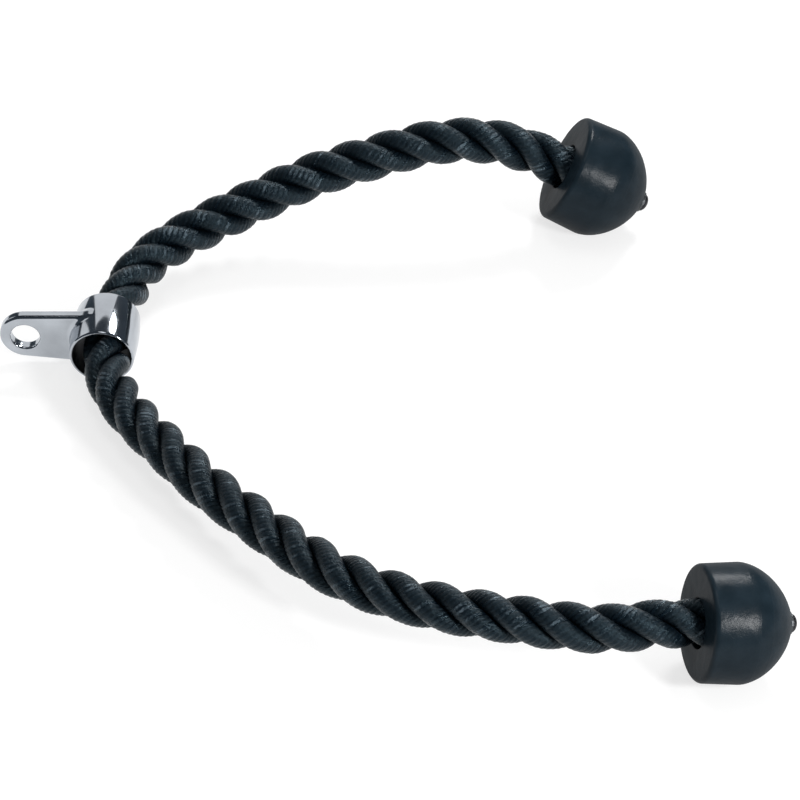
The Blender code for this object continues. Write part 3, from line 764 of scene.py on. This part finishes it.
def bracket_distance(places, look):
    """How far places lie from the bracket's surface, from the sleeve's centre; inside is negative."""
    x, y, z = places.T
    radius = np.hypot(x, z)
    outer = SLEEVE_RADIUS - SLEEVE_BULGE * (2 * y / SLEEVE_LENGTH) ** 2
    middle, half = (outer + SLEEVE_BORE_RADIUS) / 2, (outer - SLEEVE_BORE_RADIUS) / 2
    wall = rounded_block(np.abs(radius - middle) - half, np.abs(y) - SLEEVE_LENGTH / 2, SLEEVE_RIM_ROUND)

    # The plate's outline: the root's round, the sides' taper, and the end's round
    out, up = -x, np.abs(z)
    slope = (EYE_ROOT_RADIUS - EYE_END_RADIUS) / EYE_REACH
    level = math.sqrt(1 - slope ** 2)
    part = level * out - slope * up
    edge = np.where(part < 0, np.hypot(up, out) - EYE_ROOT_RADIUS,
                    np.where(part > level * EYE_REACH, np.hypot(up, out - EYE_REACH) - EYE_END_RADIUS,
                             level * up + slope * out - EYE_ROOT_RADIUS))
    plate = rounded_block(edge, np.abs(y) - EYE_THICKNESS / 2, look.plate_edge)

    # It ends inside the sleeve's wall, and the fillet grows from nothing over the first stretch outwards
    plate = np.maximum(plate, SLEEVE_RADIUS - SLEEVE_RIM_ROUND / 4 - radius)
    share = np.clip(out / (SLEEVE_RADIUS / 2), 0, 1)
    solid = rounded_join(wall, plate, look.fillet * share ** 2 * (3 - 2 * share))
    hole = np.hypot(up, out - EYE_REACH) - EYE_HOLE_RADIUS
    return rounded_cut(solid, hole, look.hole_edge)


def surface_way(places, look):
    """The direction straight out of the surface at each place."""
    tiny = 1e-5
    ways = np.column_stack([
        bracket_distance(places + tiny * step, look) - bracket_distance(places - tiny * step, look)
        for step in np.eye(3)
    ])
    return ways / np.maximum(np.linalg.norm(ways, axis=1, keepdims=True), 1e-12)


def onto_surface(places, look, steps=5):
    """Places moved straight onto the surface."""
    for _ in range(steps):
        places = places - bracket_distance(places, look)[:, None] * surface_way(places, look)
    return places


def surface_net(look):
    """Points and four-sided faces of the bracket's surface, from a grid of cells through it."""
    low = np.array((-EYE_REACH - EYE_END_RADIUS, -SLEEVE_LENGTH / 2, -SLEEVE_RADIUS - 0.003))
    high = np.array((SLEEVE_RADIUS, SLEEVE_LENGTH / 2, SLEEVE_RADIUS))
    # The uneven margin keeps the grid's own planes off the flat faces
    low, high = low - 3.3 * look.cell, high + 3 * look.cell
    counts = np.ceil((high - low) / look.cell).astype(int)
    axes = [low[k] + look.cell * np.arange(counts[k]) for k in range(3)]
    grid = np.stack(np.meshgrid(*axes, indexing="ij"), axis=-1).reshape(-1, 3)
    inside = (bracket_distance(grid, look) < 0).reshape(counts)

    # A point in each cell that has corners on both sides of the surface
    corners = sum(
        inside[i:counts[0] - 1 + i, j:counts[1] - 1 + j, k:counts[2] - 1 + k].astype(int)
        for i in (0, 1) for j in (0, 1) for k in (0, 1)
    )
    mixed = (corners > 0) & (corners < 8)
    number = np.full(mixed.shape, -1)
    number[mixed] = np.arange(mixed.sum())
    points = low + look.cell * (np.argwhere(mixed) + 0.5)

    # A face between the four cells round each edge of the grid that crosses the surface
    faces = []
    for axis in range(3):
        order = (axis, (axis + 1) % 3, (axis + 2) % 3)
        sides, cells = inside.transpose(order), number.transpose(order)
        i, j, k = np.nonzero(sides[:-1, 1:-1, 1:-1] != sides[1:, 1:-1, 1:-1])
        j, k = j + 1, k + 1
        quads = np.column_stack((
            cells[i, j - 1, k - 1], cells[i, j, k - 1], cells[i, j, k], cells[i, j - 1, k]))
        outward = sides[i, j, k]
        faces.append(np.where(outward[:, None], quads, quads[:, ::-1]))
    return points, np.vstack(faces)


def evened(points, faces, look):
    """The net's points on the surface, spread evenly along it."""
    points = onto_surface(points, look)
    ends = np.vstack([faces[:, (k, (k + 1) % 4)] for k in range(4)])
    for _ in range(3):
        total, count = np.zeros_like(points), np.zeros(len(points))
        np.add.at(total, ends[:, 0], points[ends[:, 1]])
        np.add.at(count, ends[:, 0], 1)
        points = onto_surface(0.4 * points + 0.6 * total / count[:, None], look, 3)
    return points


class OBJECT_OT_rope_attachment_bracket(Operator):
    """Make the chromed bracket: sleeve and eye plate in one smooth surface with the weld's fillets"""

    bl_idname = "object.rope_attachment_bracket"
    bl_label = "Eye Bracket"

    def execute(self, context):
        look = context.scene.bracket_look
        points, faces = surface_net(look)
        points = evened(points, faces, look)
        mesh = bpy.data.meshes.new("eye_bracket_chrome")
        mesh.from_pydata((points + np.array(SLEEVE_CENTRE)).tolist(), [], faces.tolist())
        mesh.shade_smooth()
        mesh.normals_split_custom_set_from_vertices(surface_way(points, look).tolist())
        bracket = show("eye_bracket_chrome", mesh, chrome_material(look))
        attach(bracket, "eye_bracket")
        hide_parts("sleeve", "eye_plate")
        return {"FINISHED"}


# The caps

def arc(centre, radius, start, end, count):
    """Points on an arc, both ends included."""
    angles = np.linspace(start, end, count)
    return [(centre[0] + radius * math.cos(a), centre[1] + radius * math.sin(a)) for a in angles]


def turned(name, profile, steps, place):
    """A closed shape turned about its own axis, from radii and heights that go down the outer side first."""
    profile = np.array(profile)
    angles = np.linspace(0, math.tau, steps, endpoint=False)
    radius, height = profile[:, 0, None], profile[:, 1, None]
    points = np.stack((radius * np.cos(angles), radius * np.sin(angles), height + 0 * angles), axis=-1)
    rows, columns = np.meshgrid(np.arange(len(profile)), np.arange(steps), indexing="ij")
    below, beside = (rows + 1) % len(profile), (columns + 1) % steps
    faces = np.stack((rows * steps + columns, below * steps + columns, below * steps + beside,
                      rows * steps + beside), axis=-1).reshape(-1, 4)
    mesh = bpy.data.meshes.new(name)
    mesh.from_pydata([place @ Vector(point) for point in points.reshape(-1, 3)], [], faces.tolist())
    mesh.shade_smooth()
    mesh.set_sharp_from_angle(angle=SHARP_ANGLE)
    return mesh


def cap_profile(look):
    """A cap's section: seat, dome with the mould's rings, tapered side, rim, face, socket and chamber."""
    share = 2 / CAP_DOME_POWER
    seat_turn = math.acos((CAP_SEAT_RADIUS / CAP_RADIUS) ** (1 / share))
    seat = CAP_SIDE_LENGTH + CAP_DOME_LENGTH * math.sin(seat_turn) ** share
    dome = []
    for turn in np.linspace(seat_turn, 0, DOME_POINTS):
        mark = sum(math.exp(-((turn - at) / MARK_WIDTH) ** 2) for at in MARK_ANGLES)
        swell = 1 + look.mark_height / CAP_RADIUS * mark
        across, along = CAP_RADIUS * math.cos(turn) ** share, CAP_DOME_LENGTH * math.sin(turn) ** share
        dome.append((across * swell, CAP_SIDE_LENGTH + along * swell))
    rim = arc((CAP_RIM_RADIUS - look.rim_round, look.rim_round), look.rim_round,
              0, -math.pi / 2, RIM_POINTS)
    edge = arc((SOCKET_RADIUS + SOCKET_EDGE_ROUND, SOCKET_EDGE_ROUND), SOCKET_EDGE_ROUND,
               -math.pi / 2, -math.pi, SOCKET_EDGE_POINTS)
    top = seat - CAP_TIP_WALL
    return [
        (SCREW_HOLE_RADIUS, seat), *dome, *rim, *edge,
        (SOCKET_RADIUS, SOCKET_DEPTH), (CHAMBER_RADIUS, SOCKET_DEPTH), (CHAMBER_RADIUS, top),
        (SCREW_HOLE_RADIUS, top),
    ]


def cap_place(leg):
    """Where a cap sits: its open face at the origin of its own axis, its tip towards +Z."""
    turn = Vector((0, 0, 1)).rotation_difference(cap_way(leg))
    return Matrix.Translation(SLEEVE_FOOT + Vector(leg.cap_face)) @ turn.to_matrix().to_4x4()


class OBJECT_OT_rope_attachment_caps(Operator):
    """Make both rubber end caps"""

    bl_idname = "object.rope_attachment_caps"
    bl_label = "Rubber Caps"

    def execute(self, context):
        look = context.scene.cap_look
        mat = rubber_material(look)
        for label, leg in LEGS.items():
            mesh = turned("rubber_cap_" + label, cap_profile(look), look.steps, cap_place(leg))
            cap = show("rubber_cap_" + label, mesh, mat)
            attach(cap, label + "_leg")
            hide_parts("end_cap_" + label)
        return {"FINISHED"}


class OBJECT_OT_rope_attachment_fasteners(Operator):
    """Give the screws, washers and crimped cups their finishes"""

    bl_idname = "object.rope_attachment_fasteners"
    bl_label = "Screws, Washers and Cups"

    def execute(self, context):
        steel = metal_material("zinc_steel", (0.06, 0.065, 0.07), (0.12, 0.125, 0.13), 0.50)
        black = metal_material("black_oxide", (0.020, 0.021, 0.024), (0.045, 0.047, 0.052), 0.42)
        finishes = {"ferrule": steel, "washer": steel, "cap_screw": black}
        for label in LEGS:
            for piece, mat in finishes.items():
                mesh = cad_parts[piece + "_" + label].data
                for index in range(len(mesh.materials)):
                    mesh.materials[index] = mat
        return {"FINISHED"}


# The studio

def aim(obj, place, target):
    """Put a lamp or the camera at a place, looking at a target."""
    obj.location = place
    obj.rotation_euler = (target - place).to_track_quat("-Z", "Y").to_euler()


def studio_camera():
    """The camera at the photograph's view."""
    data = bpy.data.cameras.new("photo_camera")
    data.lens = CAMERA_LENS
    data.sensor_width = 36.0
    data.clip_end = 50.0
    camera = link("photo_camera", data)
    aim(camera, CAMERA_PLACE, CAMERA_TARGET)
    bpy.context.scene.camera = camera


def studio_lamp(name, way, distance, size, power):
    """A soft lamp in a direction from the object."""
    data = bpy.data.lights.new(name, "AREA")
    data.shape = "RECTANGLE"
    data.size, data.size_y = size
    data.energy = power
    lamp = link(name, data)
    aim(lamp, Vector(way).normalized() * distance, LAMP_TARGET)
    lamp.visible_camera = False


def seen_directly(tree):
    """1 where the camera, a mirror or a glass looks at the background, and 0 where it only gives light."""
    paths = add_node(tree, "ShaderNodeLightPath").outputs
    sums = Sums(tree)
    mirrored = sums.do("ADD", paths["Is Glossy Ray"], paths["Is Transmission Ray"])
    return sums.clamped(sums.do("ADD", paths["Is Camera Ray"], mirrored), 0.0, 1.0)


def studio_world(look):
    """White all round; the light that it throws on the object is weaker than what is seen of it."""
    world = bpy.data.worlds.new("studio")
    world.use_nodes = True
    tree = world.node_tree
    shader = tree.nodes["Background"]
    shader.inputs["Color"].default_value = (1, 1, 1, 1)
    strength = Sums(tree).do("MULTIPLY_ADD", seen_directly(tree), 1 - look.ambient, look.ambient)
    tree.links.new(strength, shader.inputs["Strength"])
    bpy.context.scene.world = world


def studio_floor(look):
    """A wide pale floor; what the camera and shiny surfaces see of it is a little lighter."""
    mesh = bpy.data.meshes.new("floor")
    angles = np.linspace(0, math.tau, FLOOR_SIDES, endpoint=False)
    rim = [(FLOOR_RADIUS * math.cos(angle), FLOOR_RADIUS * math.sin(angle), 0) for angle in angles]
    mesh.from_pydata(rim, [], [list(range(FLOOR_SIDES))])
    floor = link("floor", mesh)
    mat, tree, shader = new_material("studio_floor")
    shader.inputs["Base Color"].default_value = (*look.floor, 1)
    shader.inputs["Roughness"].default_value = 0.9
    shader.inputs["Specular IOR Level"].default_value = 0.1
    shader.inputs["Emission Color"].default_value = (1, 1, 1, 1)
    glow = Sums(tree).do("MULTIPLY", seen_directly(tree), look.floor_glow)
    tree.links.new(glow, shader.inputs["Emission Strength"])
    mesh.materials.append(mat)


def dark_tent():
    """A dark tent over the table with windows behind, which only reflections show."""
    points = [
        (TENT_RADIUS * math.cos(rise) * math.cos(turn), TENT_RADIUS * math.cos(rise) * math.sin(turn),
         TENT_RADIUS * math.sin(rise))
        for rise in np.linspace(0.001, math.radians(TENT_TOP_DEGREES), TENT_ROWS + 1)
        for turn in np.linspace(0, math.tau, TENT_SIDES, endpoint=False)
    ]
    faces = []
    for row in range(TENT_ROWS):
        for side in range(TENT_SIDES):
            turn, rise = 360 * side / TENT_SIDES, TENT_TOP_DEGREES * row / TENT_ROWS
            if any(first <= turn < last and bottom <= rise < top for first, last, bottom, top in WINDOWS):
                continue
            beside = (side + 1) % TENT_SIDES
            below, above = row * TENT_SIDES, (row + 1) * TENT_SIDES
            faces.append((below + side, below + beside, above + beside, above + side))
    mesh = bpy.data.meshes.new("dark_tent")
    mesh.from_pydata(points, [], faces)
    tent = link("dark_tent", mesh)
    mat, tree, shader = new_material("dark_cloth")
    place = add_node(tree, "ShaderNodeTexCoord").outputs["Object"]
    high = add_node(tree, "ShaderNodeSeparateXYZ", {"Vector": place}).outputs["Z"]
    level = Sums(tree).do("DIVIDE", high, TENT_RADIUS)
    glow = colour_ramp(tree, level, (0.045, 0.062, 0.080), (0.012, 0.020, 0.030), 0.0, 0.9)
    tree.links.new(glow, shader.inputs["Emission Color"])
    shader.inputs["Emission Strength"].default_value = 1.0
    shader.inputs["Base Color"].default_value = (0, 0, 0, 1)
    mesh.materials.append(mat)
    tent.visible_camera = False
    tent.visible_diffuse = False
    tent.visible_shadow = False


class OBJECT_OT_rope_attachment_studio(Operator):
    """Set up the camera, the lamps, the world, the floor and the dark tent that the chrome reflects"""

    bl_idname = "object.rope_attachment_studio"
    bl_label = "Studio"

    def execute(self, context):
        look = context.scene.studio_look
        context.scene.view_settings.view_transform = "Standard"
        studio_camera()
        for name, setting in LAMPS.items():
            studio_lamp(name + "_lamp", *setting, getattr(look, name + "_power"))
        studio_world(look)
        studio_floor(look)
        dark_tent()
        return {"FINISHED"}


class VIEW3D_PT_rope_attachment(Panel):
    """The attachment's sizes, colours and build steps."""

    bl_label = "Rope Attachment"
    bl_idname = "VIEW3D_PT_rope_attachment"
    bl_space_type = "VIEW_3D"
    bl_region_type = "UI"
    bl_category = "Rope Attachment"

    def draw(self, context):
        layout = self.layout
        for key, operator in STEPS:
            box = layout.box()
            if key:
                look = getattr(context.scene, key)
                for name in look.__annotations__:
                    box.prop(look, name)
            box.operator(operator.bl_idname)


STEPS = (
    ("studio_look", OBJECT_OT_rope_attachment_studio),
    ("rope_look", OBJECT_OT_rope_attachment_rope),
    ("bracket_look", OBJECT_OT_rope_attachment_bracket),
    ("cap_look", OBJECT_OT_rope_attachment_caps),
    (None, OBJECT_OT_rope_attachment_fasteners),
)
LOOKS = {
    "studio_look": StudioLook, "rope_look": RopeLook, "bracket_look": BracketLook, "cap_look": CapLook,
}


def register():
    """Make the sizes, the build steps and the panel known to Blender."""
    for key, group in LOOKS.items():
        bpy.utils.register_class(group)
        setattr(bpy.types.Scene, key, PointerProperty(type=group))
    for _, operator in STEPS:
        bpy.utils.register_class(operator)
    bpy.utils.register_class(VIEW3D_PT_rope_attachment)


def unregister():
    """Take them out again."""
    bpy.utils.unregister_class(VIEW3D_PT_rope_attachment)
    for _, operator in reversed(STEPS):
        bpy.utils.unregister_class(operator)
    for key, group in reversed(LOOKS.items()):
        delattr(bpy.types.Scene, key)
        bpy.utils.unregister_class(group)


def main():
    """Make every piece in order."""
    register()
    bpy.ops.object.rope_attachment_studio()
    bpy.ops.object.rope_attachment_rope()
    bpy.ops.object.rope_attachment_bracket()
    bpy.ops.object.rope_attachment_caps()
    bpy.ops.object.rope_attachment_fasteners()


if __name__ == "__main__":
    main()
